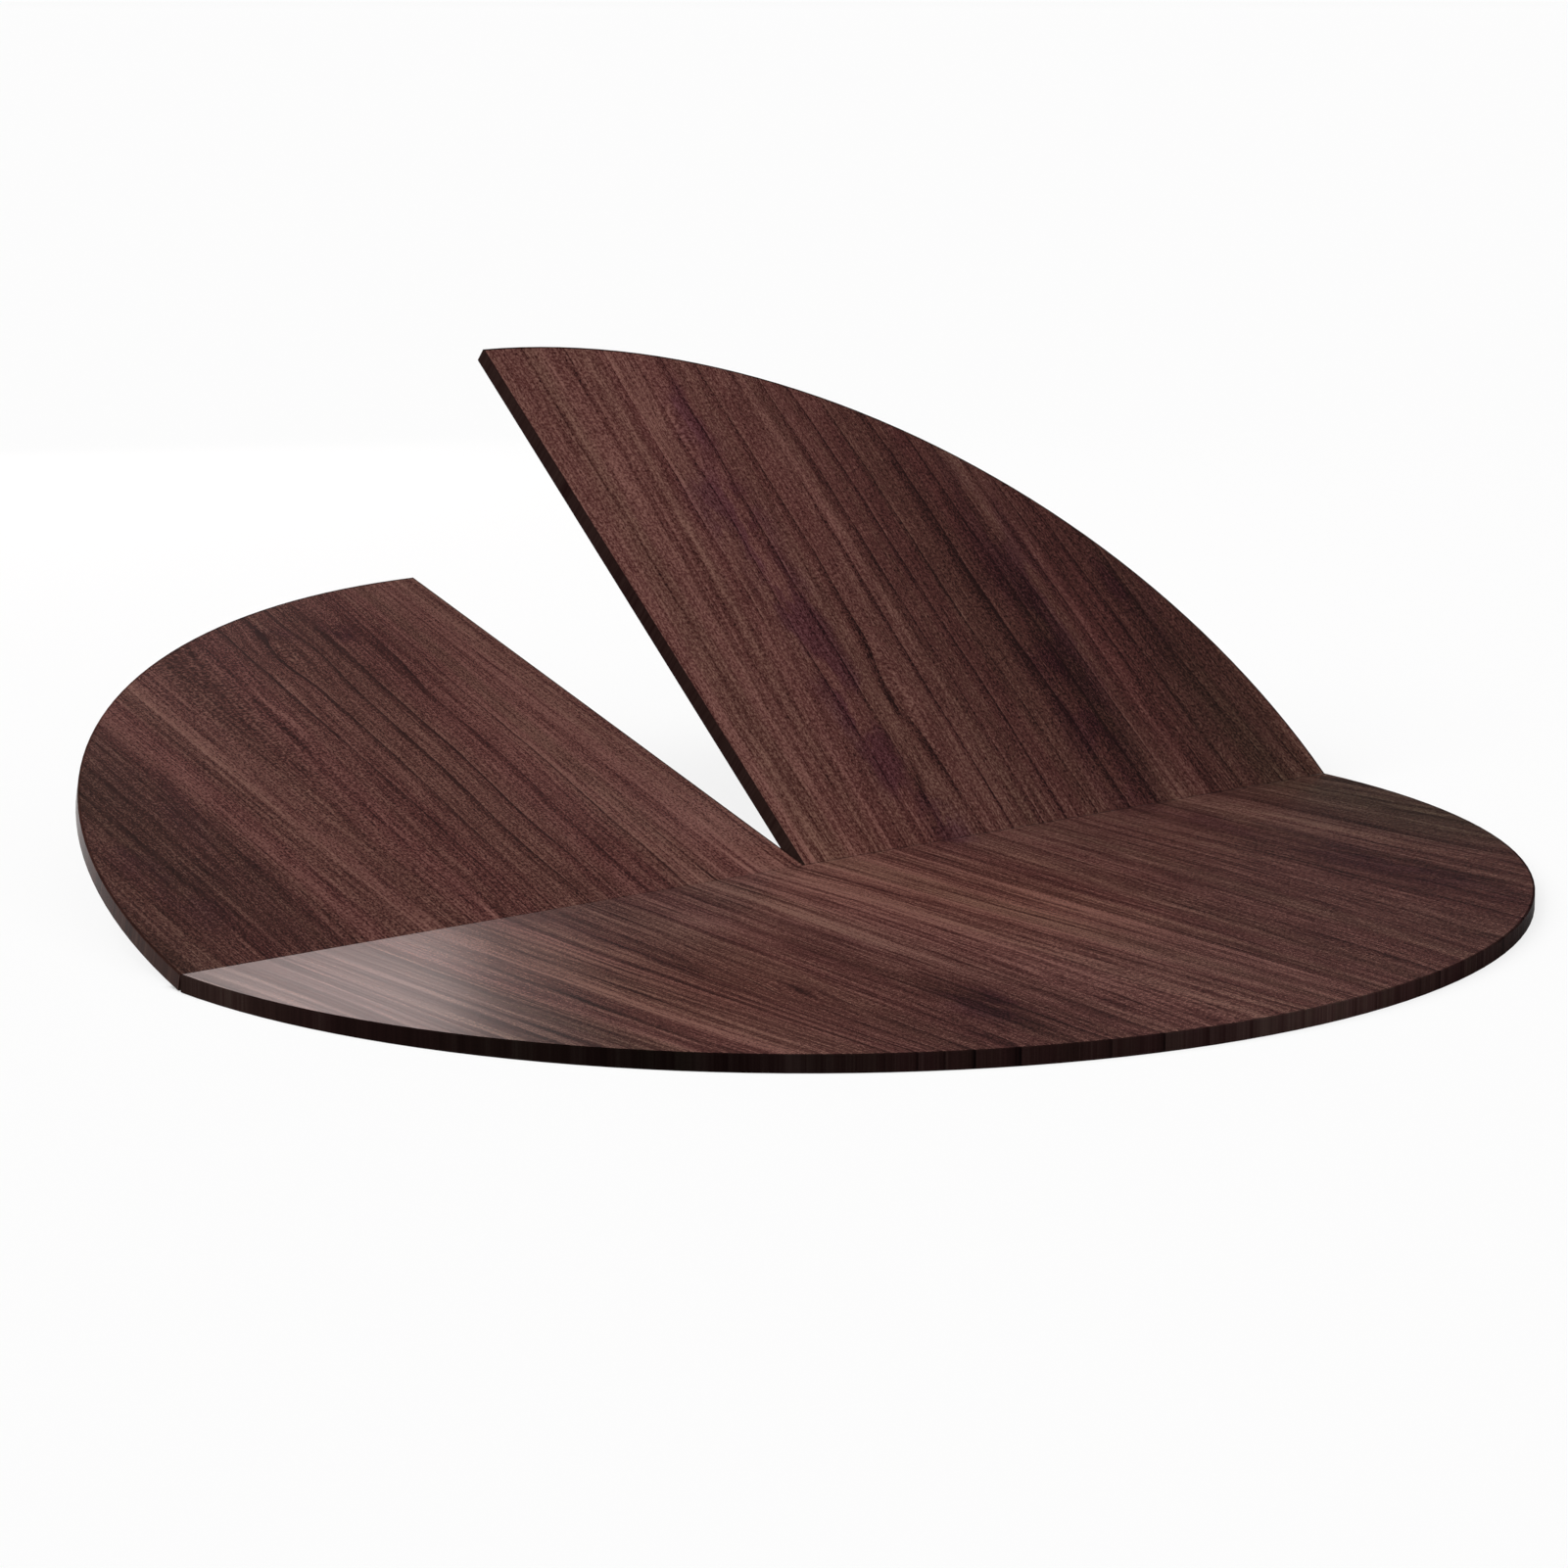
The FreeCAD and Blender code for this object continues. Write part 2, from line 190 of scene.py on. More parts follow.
walnut = {
    "radius": 0.6,
    "tones": [(0.06, (0.0190, 0.0071, 0.0070, 1.0)), (0.45, (0.0885, 0.0298, 0.0262, 1.0)),
              (0.98, (0.2620, 0.1280, 0.1040, 1.0))],
    "toneLift": 0.03,
    "purpleCast": (0.66, 0.545, 0.775, 1.0), "purpleGain": 0.55, "purpleMost": 0.85,
    "oliveShade": (0.64, 0.96, 0.80, 1.0), "oliveMost": 0.80,
    "warmCast": (1.02, 0.96, 0.89, 1.0),
    "rosyCast": (1.03, 0.98, 1.00, 1.0),
    "oliveCast": (0.97, 1.03, 0.97, 1.0),
    # how far the sway, ripple and shiver move the bands and the grain
    "bandDrift": (0.020, 0.010, 0.002),
    "grainDrift": (0.030, 0.018, 0.0022),
    "leanGain": 0.5, "knotSwell": 0.65,
    "ringPitch": 0.032, "ringGather": 0.070, "ringSharp": 9.0, "ringFade": 7.0,
    # the weight of each layer in the tone
    "cloudGain": 0.26, "stripeGain": 1.05, "streakBase": 0.28, "streakGain": 1.40, "fibreGain": 0.72,
    "speckleGain": 1.85, "ringDark": 0.48, "ringPale": 0.10, "poreDark": 0.10,
    # what changes in front of the fold, and where across or along the top
    "frontEdge": (0.05, -0.05), "frontStripes": 0.45, "frontStreaks": 0.95, "frontFibres": 0.35,
    "frontRings": 0.05, "frontLively": 0.09, "middleLively": 0.14, "middleEdge": (0.78, 0.48),
    "tipEdge": (0.46, 0.24), "rimCalm": 0.36, "rimEdge": (-0.22, -0.46),
    # relief, roughness and the streaks of the coat
    "fibreRelief": 0.5, "speckleRelief": 0.5, "ringRelief": 0.6, "depth": 0.00004, "strength": 0.5,
    "fibreRough": 0.08, "speckleRough": 0.06,
    "coatStreaks": 0.6, "coatEdge": (-0.34, 0.34), "coatLeast": 0.3,
    # noise: scale across, along and through the sheet, shift, detail, roughness, and where a mask fades in
    "layers": {
        "sway": (2.4, 1.1, 0.0, 3.1, 2.0, 0.5),
        "ripple": (8.0, 2.2, 0.0, 7.7, 3.0, 0.5),
        "shiver": (50.0, 18.0, 0.0, 1.9, 2.0, 0.5),
        "cloud": (6.0, 1.7, 0.0, 12.0, 3.0, 0.55),
        "gather": (9.0, 0.6, 0.0, 21.0, 2.0, 0.5),
        "ringDepth": (18.0, 2.0, 0.0, 5.3, 2.0, 0.5, 0.32, 0.60),
        "stripes": (100.0, 1.1, 0.0, 2.2, 4.0, 0.75),
        "streaks": (190.0, 1.6, 0.0, 17.0, 3.0, 0.7),
        "fibres": (480.0, 15.0, 0.0, 8.4, 2.0, 0.6),
        "pores": (640.0, 26.0, 0.0, 6.1, 2.0, 0.5, 0.60, 0.74),
        "speckle": (640.0, 340.0, 0.0, 4.6, 2.0, 0.8),
        "rosy": (34.0, 0.9, 0.0, 40.0, 2.0, 0.6, 0.34, 0.66),
        "purple": (34.0, 13.0, 0.0, 15.0, 3.0, 0.6, 0.34, 0.60),
        "olive": (6.0, 1.9, 0.0, 33.0, 2.0, 0.5, 0.30, 0.66),
    },
    # tone across the board, from the left rim at 0 to the right rim at 1
    "bands": [(0.0, 0.42), (0.07, 0.40), (0.105, 0.38), (0.132, 0.46), (0.143, 0.66), (0.152, 0.48),
              (0.176, 0.48), (0.185, 0.66), (0.194, 0.50), (0.240, 0.455), (0.260, 0.435),
              (0.380, 0.435), (0.410, 0.52), (0.500, 0.56), (0.560, 0.51), (0.640, 0.43),
              (0.700, 0.45), (0.780, 0.43), (0.800, 0.39), (0.840, 0.40), (0.852, 0.60),
              (0.863, 0.45), (0.872, 0.53), (0.884, 0.43), (1.0, 0.40)],
    # where the board is striped, speckled, ringed, purple and olive, in the same way
    "striped": [(0.0, 0.85), (0.12, 0.9), (0.14, 1.0), (0.24, 1.0), (0.28, 0.55), (0.38, 0.55),
                (0.41, 1.0), (0.57, 0.95), (0.64, 0.47), (0.80, 0.40), (0.86, 0.58), (1.0, 0.50)],
    "speckled": [(0.0, 0.90), (0.12, 0.90), (0.15, 1.0), (0.60, 1.0), (0.80, 0.96), (1.0, 0.92)],
    "ringed": [(0.0, 0.35), (0.22, 0.30), (0.26, 1.0), (0.40, 1.0), (0.44, 0.35), (0.54, 0.38),
               (0.60, 0.75), (0.78, 0.90), (0.84, 0.75), (0.90, 0.5), (1.0, 0.5)],
    "purples": [(0.0, 0.2), (0.10, 0.4), (0.15, 0.0), (0.32, 0.1), (0.40, 0.1), (0.45, 0.0),
                (0.56, 0.05), (0.62, 0.3), (0.68, 0.1), (0.78, 0.2), (0.80, 0.5), (0.84, 0.4),
                (0.86, 0.1), (1.0, 0.2)],
    "olives": [(0.0, 0.9), (0.12, 0.6), (0.15, 0.05), (0.62, 0.05), (0.72, 0.3), (0.80, 0.2),
               (0.87, 0.9), (1.0, 0.9)],
    # how the grain leans across the board, 0.5 for none
    "upright": 0.5,
    "leans": [(0.0, 0.50), (0.20, 0.50), (0.28, 0.68), (0.40, 0.66), (0.50, 0.50), (0.62, 0.62),
              (0.70, 0.60), (0.80, 0.50), (0.90, 0.36), (1.0, 0.24)],
    # places where the rings swell round a small knot: across, along, half width, half length
    "knots": [(0.204, 0.165, 0.030, 0.110), (-0.205, 0.480, 0.045, 0.080),
              (-0.265, -0.325, 0.030, 0.080), (0.150, 0.470, 0.034, 0.090)],
    # lighter and darker places: across, along, half width, half length, lean, tone
    "shades": [(-0.02, -0.16, 0.15, 0.44, 0.0, 0.20), (0.05, 0.56, 0.22, 0.26, 0.0, 0.04),
               (0.46, 0.24, 0.28, 0.40, 0.0, -0.17), (-0.50, 0.20, 0.12, 0.40, 0.0, -0.05),
               (0.42, -0.30, 0.24, 0.30, 0.0, -0.08), (-0.33, -0.12, 0.09, 0.24, 0.0, 0.10),
               (-0.518, 0.220, 0.004, 0.320, 0.02, -0.16), (-0.500, 0.140, 0.004, 0.220, 0.0, 0.14),
               (-0.278, 0.400, 0.007, 0.130, 0.05, 0.16), (0.252, 0.300, 0.008, 0.380, 0.0, 0.17),
               (0.189, 0.155, 0.005, 0.036, -0.10, -0.34), (0.166, 0.070, 0.005, 0.060, -0.25, -0.26),
               (-0.138, -0.190, 0.008, 0.150, 0.0, -0.20), (-0.172, -0.430, 0.034, 0.120, -0.21, -0.20),
               (-0.262, -0.325, 0.010, 0.035, -0.10, -0.20), (0.398, 0.140, 0.060, 0.300, -0.12, -0.08),
               (0.446, -0.200, 0.015, 0.280, 0.08, 0.21), (0.080, -0.260, 0.070, 0.170, 0.0, 0.20),
               (0.020, -0.050, 0.055, 0.080, 0.0, 0.15), (-0.200, -0.120, 0.080, 0.100, 0.0, 0.17),
               (-0.315, -0.100, 0.070, 0.110, 0.0, 0.15), (0.190, -0.225, 0.040, 0.060, 0.0, -0.07),
               (0.160, 0.440, 0.045, 0.110, 0.0, -0.06), (0.412, 0.080, 0.070, 0.130, -0.10, -0.08),
               (-0.137, 0.513, 0.028, 0.032, 0.0, -0.10), (-0.198, 0.521, 0.024, 0.028, 0.0, -0.08),
               (0.090, -0.090, 0.090, 0.140, 0.0, 0.10), (-0.200, -0.500, 0.120, 0.140, 0.0, -0.08),
               (-0.100, 0.480, 0.120, 0.160, 0.0, -0.07), (0.520, 0.120, 0.090, 0.260, 0.0, -0.10)],
    # purple places: across, along, half width, half length, lean, strength
    "bruises": [(0.168, 0.500, 0.034, 0.080, 0.0, 2.0), (0.150, 0.385, 0.054, 0.080, 0.20, 2.2),
                (0.150, 0.300, 0.044, 0.100, 0.20, 2.2), (0.146, 0.200, 0.040, 0.120, -0.05, 2.6),
                (0.143, 0.100, 0.036, 0.080, 0.0, 2.6), (0.165, 0.020, 0.034, 0.060, 0.0, 2.4),
                (-0.535, 0.140, 0.036, 0.150, 0.08, 1.2), (-0.455, 0.260, 0.034, 0.220, 0.0, 0.6),
                (-0.138, -0.200, 0.030, 0.160, 0.0, 0.6), (0.400, 0.200, 0.060, 0.340, -0.155, 1.4),
                (0.517, 0.230, 0.050, 0.140, 0.0, 1.4), (0.385, -0.240, 0.050, 0.320, 0.0, 1.0),
                (-0.137, 0.513, 0.036, 0.038, 0.0, 2.0), (-0.198, 0.521, 0.028, 0.032, 0.0, 1.8),
                (-0.178, -0.440, 0.046, 0.090, -0.21, 2.4)],
    # yellower places, in the same order
    "warmths": [(0.05, -0.17, 0.18, 0.32, 0.0, 1.0), (-0.32, -0.25, 0.18, 0.28, 0.0, 0.9)],
}


def spot(flat, x, y, wide, long, lean, gain):
    # the gain at the middle of an oval, easing to 0 at its edge
    local = flat.node("Mapping", {"vector_type": "TEXTURE"},
                      {"Vector": flat, "Location": (x, y, 0.0), "Rotation": (0.0, 0.0, lean),
                       "Scale": (wide, long, 1.0)})
    away = flat.node("VectorMath", {"operation": "LENGTH"}, {0: local}, 1)
    return flat.node("MapRange", {"interpolation_type": "SMOOTHSTEP"},
                     {"Value": away, "From Min": 1.0, "From Max": 0.0, "To Max": gain})


def drifted(wire, drifts, amounts):
    for drift, amount in zip(drifts, amounts):
        wire = wire + drift * amount
    return wire


def boardPlace(across, drifts):
    # 0 at the left rim and 1 at the right rim, wandering a little
    return drifted(across, drifts, walnut["bandDrift"]) * (0.5 / walnut["radius"]) + 0.5


def boardGrain(flat, across, along, place, drifts):
    # the grain runs along Y, leans and wanders a little and swells round the knots
    lean = (place.ramp(greys(walnut["leans"]), "EASE") - walnut["upright"]) * walnut["leanGain"]
    grain = drifted(across - along * lean, drifts, walnut["grainDrift"])
    for x, y, wide, long in walnut["knots"]:
        grain = grain - (across - x) * spot(flat, x, y, wide, long, 0.0, walnut["knotSwell"])
    return grain


def growthRings(flat, grain, place):
    # dark and sharp on one side, fading on the other
    layers = walnut["layers"]
    gather = centred(flat, layers["gather"])
    ring = ((grain + gather * walnut["ringGather"]) / walnut["ringPitch"]).part()
    ringed = place.ramp(greys(walnut["ringed"]), "EASE") * layer(flat, layers["ringDepth"])
    ringLine = ring ** walnut["ringSharp"] * ringed
    ringPale = (1.0 - ring) ** walnut["ringFade"] * ringed
    return ringLine, ringPale


def boardCasts(wood, flat, fibreLay, place):
    # rosy and olive streaks, purple places, yellower places, and olive shade at the sides
    layers = walnut["layers"]
    rosy = layer(fibreLay, layers["rosy"])
    wood = rosy.mixed(wood.times(walnut["oliveCast"]), wood.times(walnut["rosyCast"]))
    patch = layer(fibreLay, layers["purple"])
    purple = place.ramp(greys(walnut["purples"]), "EASE")
    for bruise in walnut["bruises"]:
        purple = purple + spot(flat, *bruise)
    purple = (purple * patch * walnut["purpleGain"]).between(0.0, 1.0) * walnut["purpleMost"]
    wood = purple.mixed(wood, wood.times(walnut["purpleCast"]))
    for warmth in walnut["warmths"]:
        wood = spot(flat, *warmth).mixed(wood, wood.times(walnut["warmCast"]))
    cloudy = layer(flat, layers["olive"])
    olive = place.ramp(greys(walnut["olives"]), "EASE") * cloudy * walnut["oliveMost"]
    return olive.mixed(wood, wood.times(walnut["oliveShade"]))


def walnutFinish(name, rise, look):
    material, wire, shader = newFinish(name)
    layers = walnut["layers"]
    flat = laidFlat(wire, rise)
    across = flat.axis(0)
    along = flat.axis(1)
    drifts = [centred(flat, layers[drift]) for drift in ("sway", "ripple", "shiver")]
    place = boardPlace(across, drifts)
    grain = boardGrain(flat, across, along, place, drifts)
    fibreLay = wire.node("CombineXYZ", None, {"X": grain, "Y": along})

    # broad bands, clouds and shaded places
    tone = place.ramp(greys(walnut["bands"])) + centred(flat, layers["cloud"]) * walnut["cloudGain"]
    for shade in walnut["shades"]:
        tone = tone + spot(flat, *shade)

    # rings, stripes, streaks, fibres and the fine speckle of the printed sheet
    ringLine, ringPale = growthRings(flat, grain, place)
    front = along.between(*walnut["frontEdge"])
    middle = place.between(*walnut["middleEdge"])
    lively = place.ramp(greys(walnut["striped"]))
    lively = lively + front * (middle * walnut["middleLively"] + walnut["frontLively"])
    lively = lively - along.between(*walnut["rimEdge"]) * walnut["rimCalm"]
    speckled = place.ramp(greys(walnut["speckled"]))
    stripes = centred(fibreLay, layers["stripes"]) * lively
    streaky = front * walnut["frontStreaks"] + walnut["streakBase"]
    streaks = centred(fibreLay, layers["streaks"]) * streaky * lively
    fibres = centred(fibreLay, layers["fibres"])
    pores = layer(fibreLay, layers["pores"])
    speckle = centred(fibreLay, layers["speckle"]) * speckled

    tip = place.between(*walnut["tipEdge"])
    broad = front * (walnut["frontStripes"] - tip * walnut["frontStripes"]) + walnut["stripeGain"]
    fibrous = front * walnut["frontFibres"] + walnut["fibreGain"]
    texture = stripes * broad + streaks * walnut["streakGain"]
    texture = texture + fibres * speckled * fibrous + speckle * walnut["speckleGain"]
    tone = tone + texture * look["texture"] + walnut["toneLift"]
    tone = tone - ringLine * (walnut["ringDark"] - front * walnut["frontRings"])
    tone = tone + ringPale * walnut["ringPale"] - pores * walnut["poreDark"]
    wood = boardCasts(tone.ramp(walnut["tones"]), flat, fibreLay, place)
    # painted light and shade on the bands: their colour is darkened and lightened along the rim as lamps
    # would light it, then tinted
    if "shade" in look:
        wood = wood.times(place.ramp(greys(look["shade"]))).times(look["tint"])

    height = fibres * walnut["fibreRelief"] + speckle * walnut["speckleRelief"]
    height = height - ringLine * walnut["ringRelief"]
    roughness = look["roughness"] + fibres * walnut["fibreRough"] + speckle * walnut["speckleRough"]
    fit(shader, {
        "Base Color": wood,
        "Roughness": roughness,
        "Normal": height.bumped(walnut["depth"], walnut["strength"]),
        "Specular IOR Level": look["specular"],
    })
    if "coat" in look:
        gloss = (stripes + streaks * walnut["coatStreaks"]).between(*walnut["coatEdge"])
        gloss = gloss * (1.0 - walnut["coatLeast"]) + walnut["coatLeast"]
        fit(shader, {"Coat Weight": gloss * look["coat"], "Coat Roughness": look["roughness"]})
    return material


# in these finishes a layer is scaled along X, Y and Z, then as in the walnut
underside = {
    "low": (0.0125, 0.0078, 0.0062, 1.0), "high": (0.0195, 0.0125, 0.0100, 1.0),
    "scuffed": (0.05, 0.042, 0.037, 1.0),
    "pebble": (900.0, 900.0, 900.0, 0.0, 2.0, 0.5),
    "cloud": (9.0, 9.0, 9.0, 4.0, 3.0, 0.5),
    "scuff": (14.0, 90.0, 40.0, 9.0, 3.0, 0.65, 0.62, 0.80),
    "pebbleTone": 0.7, "cloudTone": 0.4, "toneDrop": 0.05, "scuffMost": 0.22,
    "rough": 0.52, "pebbleRough": 0.12, "scuffSmooth": 0.12, "depth": 0.00008, "strength": 0.5,
}


def undersideFinish():
    # plain balancing laminate with a fine pebbled face
    material, wire, shader = newFinish("undersideLaminate")
    here = wire.here()
    pebble = layer(here, underside["pebble"])
    cloud = layer(here, underside["cloud"])
    scuff = layer(here, underside["scuff"])
    tone = pebble * underside["pebbleTone"] + cloud * underside["cloudTone"] - underside["toneDrop"]
    colour = tone.mixed(underside["low"], underside["high"])
    roughness = underside["rough"] + pebble * underside["pebbleRough"] - scuff * underside["scuffSmooth"]
    fit(shader, {
        "Base Color": (scuff * underside["scuffMost"]).mixed(colour, underside["scuffed"]),
        "Roughness": roughness,
        "Normal": pebble.bumped(underside["depth"], underside["strength"]),
    })
    return material


coreBoard = {
    "tones": [(0.0, (0.22, 0.135, 0.066, 1.0)), (0.6, (0.36, 0.235, 0.125, 1.0)),
              (1.0, (0.48, 0.345, 0.205, 1.0))],
    "dusty": (0.30, 0.20, 0.11, 1.0),
    "chips": (420.0, 900.0, 1300.0),
    "dust": (2600.0, 2600.0, 2600.0, 0.0, 2.0, 0.5),
    "dustMost": 0.4, "rough": 0.82, "dustRough": 0.1,
    "chipRelief": 0.6, "dustRelief": 0.4, "depth": 0.00025, "strength": 0.6,
}


def boardFinish():
    # raw particle board, in the hinge pockets
    material, wire, shader = newFinish("particleBoard")
    here = wire.here()
    chips = here.stretched(*coreBoard["chips"])
    tone = here.node("TexVoronoi", {"feature": "F1"}, {"Vector": chips, "Scale": 1.0}, "Color").axis(0)
    dust = layer(here, coreBoard["dust"])
    colour = tone.ramp(coreBoard["tones"])
    height = tone * coreBoard["chipRelief"] + dust * coreBoard["dustRelief"]
    fit(shader, {
        "Base Color": (dust * coreBoard["dustMost"]).mixed(colour, coreBoard["dusty"]),
        "Roughness": coreBoard["rough"] + dust * coreBoard["dustRough"],
        "Normal": height.bumped(coreBoard["depth"], coreBoard["strength"]),
    })
    return material


housing = {
    "low": (0.30, 0.295, 0.285, 1.0), "high": (0.40, 0.392, 0.375, 1.0), "rubbed": (0.56, 0.55, 0.53, 1.0),
    "cast": (1500.0, 1500.0, 1500.0, 0.0, 2.0, 0.5),
    "cloud": (130.0, 130.0, 130.0, 6.0, 3.0, 0.5),
    "rub": (260.0, 900.0, 900.0, 2.0, 3.0, 0.7, 0.60, 0.78),
    "rubMost": 0.5, "rough": 0.36, "castRough": 0.14, "rubSmooth": 0.08, "depth": 0.00003, "strength": 0.5,
}


def housingFinish():
    # satin nickel on a die casting
    material, wire, shader = newFinish("satinNickel")
    here = wire.here()
    cast = layer(here, housing["cast"])
    rub = layer(here, housing["rub"])
    colour = layer(here, housing["cloud"]).mixed(housing["low"], housing["high"])
    fit(shader, {
        "Base Color": (rub * housing["rubMost"]).mixed(colour, housing["rubbed"]),
        "Metallic": 1.0,
        "Roughness": housing["rough"] + cast * housing["castRough"] - rub * housing["rubSmooth"],
        "Normal": cast.bumped(housing["depth"], housing["strength"]),
    })
    return material


steel = {
    "arm": {"name": "brushedSteel", "low": (0.40, 0.40, 0.405, 1.0), "high": (0.60, 0.60, 0.605, 1.0),
            "brush": (5200.0, 60.0, 400.0, 0.0, 3.0, 0.65)},
    "rivet": {"name": "rivetSteel", "low": (0.50, 0.50, 0.50, 1.0), "high": (0.68, 0.68, 0.68, 1.0),
              "brush": (9000.0, 60.0, 400.0, 0.0, 3.0, 0.65)},
    "oily": (0.20, 0.185, 0.165, 1.0),
    "oil": (300.0, 300.0, 300.0, 3.0, 2.0, 0.5, 0.50, 0.75),
    "oilMost": 0.35, "rough": 0.24, "brushRough": 0.16, "oilRough": 0.06, "depth": 0.00002, "strength": 0.4,
}


def steelFinish(look):
    # brushed round the fold line
    material, wire, shader = newFinish(look["name"])
    here = laidFlat(wire, 0.0)
    depth = here.axis(2)
    reach = here.axis(1)
    radius = (reach * reach + depth * depth) ** 0.5
    lay = wire.node("CombineXYZ", None, {"X": radius, "Y": reach, "Z": here.axis(0)})
    brush = layer(lay, look["brush"])
    oil = layer(here, steel["oil"])
    colour = brush.mixed(look["low"], look["high"])
    fit(shader, {
        "Base Color": (oil * steel["oilMost"]).mixed(colour, steel["oily"]),
        "Metallic": 1.0,
        "Roughness": steel["rough"] + brush * steel["brushRough"] + oil * steel["oilRough"],
        "Normal": brush.bumped(steel["depth"], steel["strength"]),
    })
    return material


plating = {
    "low": (0.46, 0.44, 0.37, 1.0), "high": (0.60, 0.585, 0.53, 1.0),
    "cloud": (420.0, 420.0, 420.0, 0.0, 3.0, 0.5),
    "fine": (3200.0, 3200.0, 3200.0, 5.0, 2.0, 0.5),
    "rough": 0.26, "fineRough": 0.14, "depth": 0.00001, "strength": 0.4,
}


def screwFinish():
    # bright zinc plate with a faint warm cast
    material, wire, shader = newFinish("zincPlate")
    here = wire.here()
    fine = layer(here, plating["fine"])
    fit(shader, {
        "Base Color": layer(here, plating["cloud"]).mixed(plating["low"], plating["high"]),
        "Metallic": 1.0,
        "Roughness": plating["rough"] + fine * plating["fineRough"],
        "Normal": fine.bumped(plating["depth"], plating["strength"]),
    })
    return material


def dress(node, finish):
    mesh = nodes[node].data
    mesh.materials.clear()
    mesh.materials.append(finish)


sheetLook = {"texture": 1.0, "roughness": 0.22, "specular": 0.22, "coat": 0.60}
# the bands are darker than the sheet, partly in their own colour and partly as painted shade, by an amount
# that changes from left to right: the shade ramp paints light and shade along the rim, and the tint colours
# that painted shade
bandLooks = {
    "half": {
        "shade": [(0.0, 0.36), (0.006, 0.25), (0.02, 0.15), (0.08, 0.11), (0.14, 0.06), (0.20, 0.11),
                  (0.27, 0.22), (0.43, 0.24), (0.52, 0.44), (0.68, 0.36), (0.92, 0.30), (1.0, 0.46)],
        "tint": (0.76, 1.0, 1.08, 1.0), "texture": 0.25, "roughness": 0.22, "specular": 0.0006,
    },
    "left_leaf": {
        "shade": [(0.0, 0.42), (0.06, 0.80), (0.15, 0.80), (0.30, 0.25), (0.47, 0.11)],
        "tint": white, "texture": 0.4, "roughness": 0.22, "specular": 0.031,
    },
    "right_leaf": {
        "shade": [(0.53, 0.17), (0.75, 0.22), (1.0, 0.30)],
        "tint": (0.84, 1.0, 1.06, 1.0), "texture": 0.3, "roughness": 0.22, "specular": 0.001,
    },
}
zinc = screwFinish()
board = boardFinish()
plainUnder = undersideFinish()
metals = {
    "_housing": housingFinish(),
    "_arm": steelFinish(steel["arm"]),
    "_rivet": steelFinish(steel["rivet"]),
}
for panel, rise in panelRise.items():
    dress(panel + "_top_sheet", walnutFinish(panel + "Walnut", rise, sheetLook))
    rimFinish = walnutFinish(panel + "Rim", rise, bandLooks[panel])
    for band in ("_rim_band", "_fold_band", "_split_band"):
        if panel + band in nodes:
            dress(panel + band, rimFinish)
    dress(panel + "_bottom_sheet", plainUnder)
    dress(panel + "_core", board)
    dress(panel + "_screws", zinc)
for node in nodes:
    for ending, metal in metals.items():
        if node.endswith(ending):
            dress(node, metal)
print("finishes on", sum(1 for node in nodes.values() if node.data.materials), "nodes")


screw = {
    "headRadius": 0.0030, "headDepth": 0.0015, "shankRadius": 0.0015, "length": 0.0160, "tip": 0.0040,
    "tipShare": 0.12, "sides": 40, "softEdge": 0.00018, "softSteps": 2, "smoothBelow": 30.0,
    "slotWide": 0.00085, "slotReach": 0.0018, "slotDeep": 0.0011, "slotTaper": (0.35, 0.55, 1.0),
    "hinges": (0.120, 0.440), "pitch": 0.040, "height": 0.0070, "halfGap": 0.00025,
    "spin": 9.0,  # radians to a metre across, so that no two heads are turned alike
}
nearEnd = 0.95  # a face past this share of a depth is the one at its end
nearZero = 1e-6


def only(piece):
    bpy.ops.object.select_all(action="DESELECT")
    piece.select_set(True)
    bpy.context.view_layer.objects.active = piece


def pick(piece, kind, test):
    # in edit mode, selects the faces whose middle passes the test, or the edges whose two ends do
    bpy.ops.mesh.select_mode(type=kind)
    bpy.ops.mesh.select_all(action="DESELECT")
    bpy.ops.object.mode_set(mode="OBJECT")
    mesh = piece.data
    if kind == "FACE":
        for face in mesh.polygons:
            face.select = test(face.center)
    else:
        for edge in mesh.edges:
            edge.select = all(test(mesh.vertices[number].co) for number in edge.vertices)
    bpy.ops.object.mode_set(mode="EDIT")


def crossCutter():
    # a tapered bar, then the same bar turned a quarter
    bars = []
    for turn in (0.0, math.pi / 2):
        bpy.ops.object.select_all(action="DESELECT")
        bpy.ops.mesh.primitive_cube_add(size=1.0)
        bar = bpy.context.active_object
        bar.scale = (2.0 * screw["slotReach"], screw["slotWide"], 2.0 * screw["slotDeep"])
        bpy.ops.object.transform_apply(location=False, rotation=False, scale=True)
        bpy.ops.object.mode_set(mode="EDIT")
        pick(bar, "FACE", lambda middle: middle.z < -nearEnd * screw["slotDeep"])
        bpy.ops.transform.resize(value=screw["slotTaper"])
        bpy.ops.object.mode_set(mode="OBJECT")
        bar.rotation_euler.z = turn
        bpy.ops.object.transform_apply(location=False, rotation=True, scale=False)
        bars.append(bar)
    return bars


